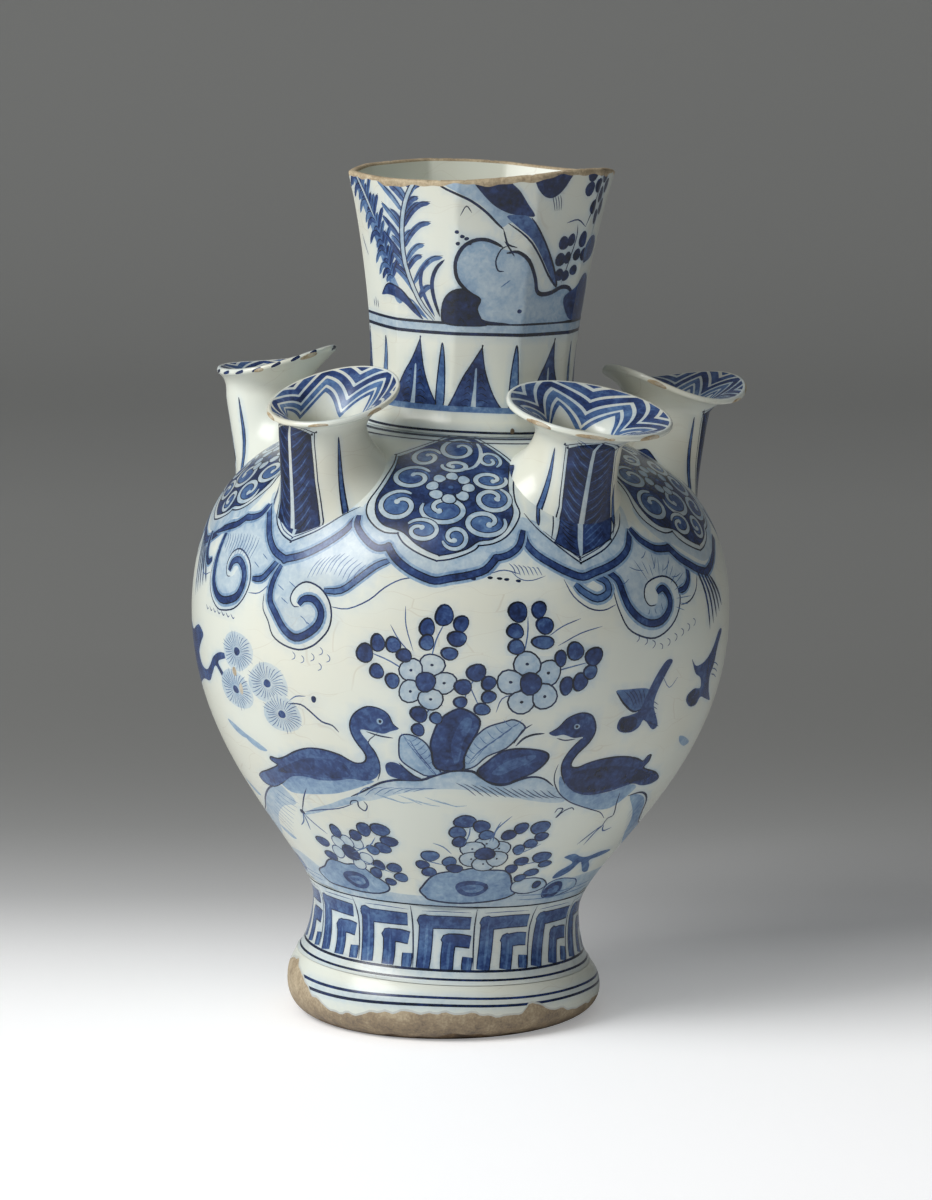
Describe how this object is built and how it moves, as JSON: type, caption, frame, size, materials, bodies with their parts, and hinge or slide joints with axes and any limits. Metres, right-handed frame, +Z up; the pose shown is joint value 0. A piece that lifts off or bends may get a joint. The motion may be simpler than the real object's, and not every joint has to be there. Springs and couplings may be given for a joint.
{
  "type": "flower vase with spouts",
  "caption": "Bulbous glazed vase with a tall flared neck, a ring of trumpet spouts on its shoulder, a rounded foot ring and blue painted birds, flowers and borders.",
  "frame": {"origin": "under the middle of the vase's bounding box, on the plane that the foot ring stands on", "axes": "+Z up along the vase, from foot to rim; -Y faces the viewer, towards the panel between the two front spouts; +X to the viewer's right, the way the body leans"},
  "size_m": [0.234, 0.2306, 0.3615],
  "materials": {
    "foot_clay": "off-white glaze worn through to brown fired clay, with thin blue lines above",
    "painted_glaze": "glossy off-white crackled glaze over cobalt blue brush painting with dark outlines",
    "spout_glaze": "glossy cream-white glaze with cobalt blue leaves, zigzags in the mouths and chipped brown lips"
  },
  "bodies": {
    "root": {"foot": "foot_clay", "lower_body": "painted_glaze", "shoulder": "painted_glaze", "neck": "painted_glaze", "spout_front_left": "spout_glaze", "spout_front_right": "spout_glaze", "spout_right": "spout_glaze", "spout_back": "spout_glaze", "spout_left": "spout_glaze"}
  },
  "joints": []
}
